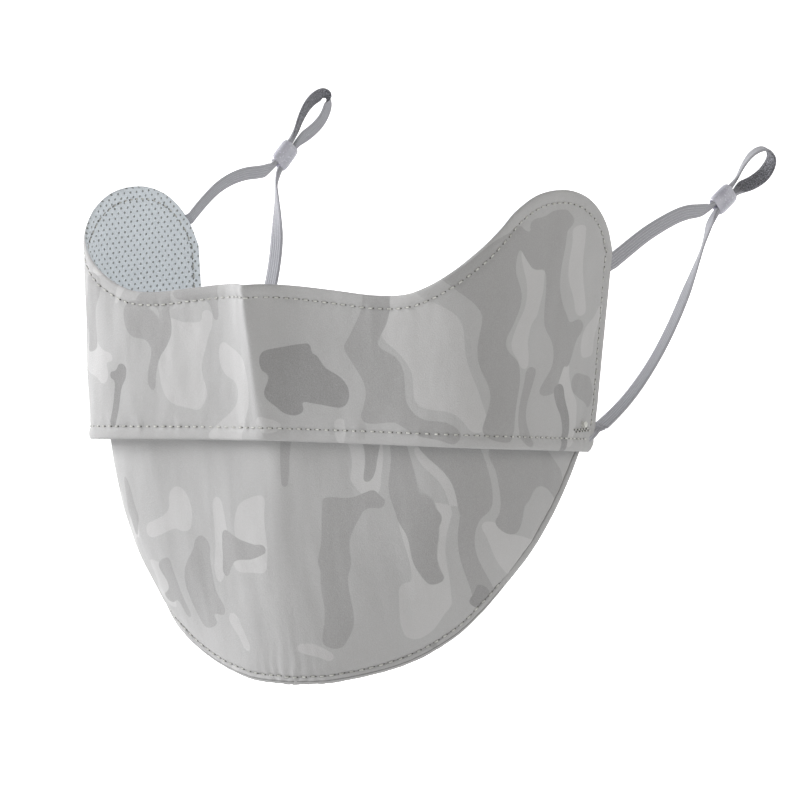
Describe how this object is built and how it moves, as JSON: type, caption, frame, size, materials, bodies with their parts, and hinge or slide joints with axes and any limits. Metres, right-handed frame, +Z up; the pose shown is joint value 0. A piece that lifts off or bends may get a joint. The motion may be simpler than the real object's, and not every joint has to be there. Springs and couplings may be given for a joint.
{
  "type": "face mask",
  "caption": "Cloth face mask with raised cheek wings, a breathing flap over a tucked chin panel, and flat elastic ear loops shortened by sliding beads.",
  "frame": {"origin": "top edge of the nose ridge, on the cloth's outer face", "axes": "+Z up as worn, -Y the way the wearer faces, +X the wearer's left"},
  "size_m": [0.1983, 0.2008, 0.2105],
  "materials": {
    "camo_cloth": "fine smooth knit, printed in four greys",
    "mesh_lining": "pale blue-grey perforated knit",
    "binding_cloth": "fine smooth knit strip",
    "thread": "matte twisted thread",
    "elastic": "ribbed braid",
    "silicone": "satin translucent"
  },
  "bodies": {
    "band": {"band_outer": "camo_cloth", "band_lining": "mesh_lining", "band_edge_stitches": "thread", "band_hem_stitches": "thread", "elastic_ends_left": "elastic", "elastic_ends_right": "elastic", "side_tack_left": "thread", "side_tack_right": "thread"},
    "chin": {"chin_outer": "camo_cloth", "chin_lining": "mesh_lining", "chin_binding": "binding_cloth", "chin_hem_stitches": "thread", "chin_top_stitches": "thread"},
    "ear_loop_left": {"ear_elastic_left": "elastic"},
    "bead_left": {"ear_bead_left": "silicone"},
    "ear_loop_right": {"ear_elastic_right": "elastic"},
    "bead_right": {"ear_bead_right": "silicone"}
  },
  "joints": [
    {"name": "chin_tuck", "type": "hinge", "parent": "band", "child": "chin", "pos_m": [0, 0.09, -0.05], "axis": [1, 0, 0], "range_deg": [0, 24]},
    {"name": "ear_swing_left", "type": "hinge", "parent": "band", "child": "ear_loop_left", "pos_m": [0.089, 0.1068, 0.0082], "axis": [0.0775, 0.0202, 0.9968], "range_deg": [-80, 80]},
    {"name": "bead_slide_left", "type": "slide", "parent": "ear_loop_left", "child": "bead_left", "axis": [0.2276, 0.7718, 0.5937], "range_m": [-0.015, 0.008], "deforming": ["ear_elastic_left"]},
    {"name": "ear_swing_right", "type": "hinge", "parent": "band", "child": "ear_loop_right", "pos_m": [-0.0891, 0.102, 0.0228], "axis": [-0.0635, -0.0486, 0.9968], "range_deg": [-80, 80]},
    {"name": "bead_slide_right", "type": "slide", "parent": "ear_loop_right", "child": "bead_right", "axis": [0.2578, 0.5919, 0.7637], "range_m": [-0.015, 0.008], "deforming": ["ear_elastic_right"]}
  ]
}
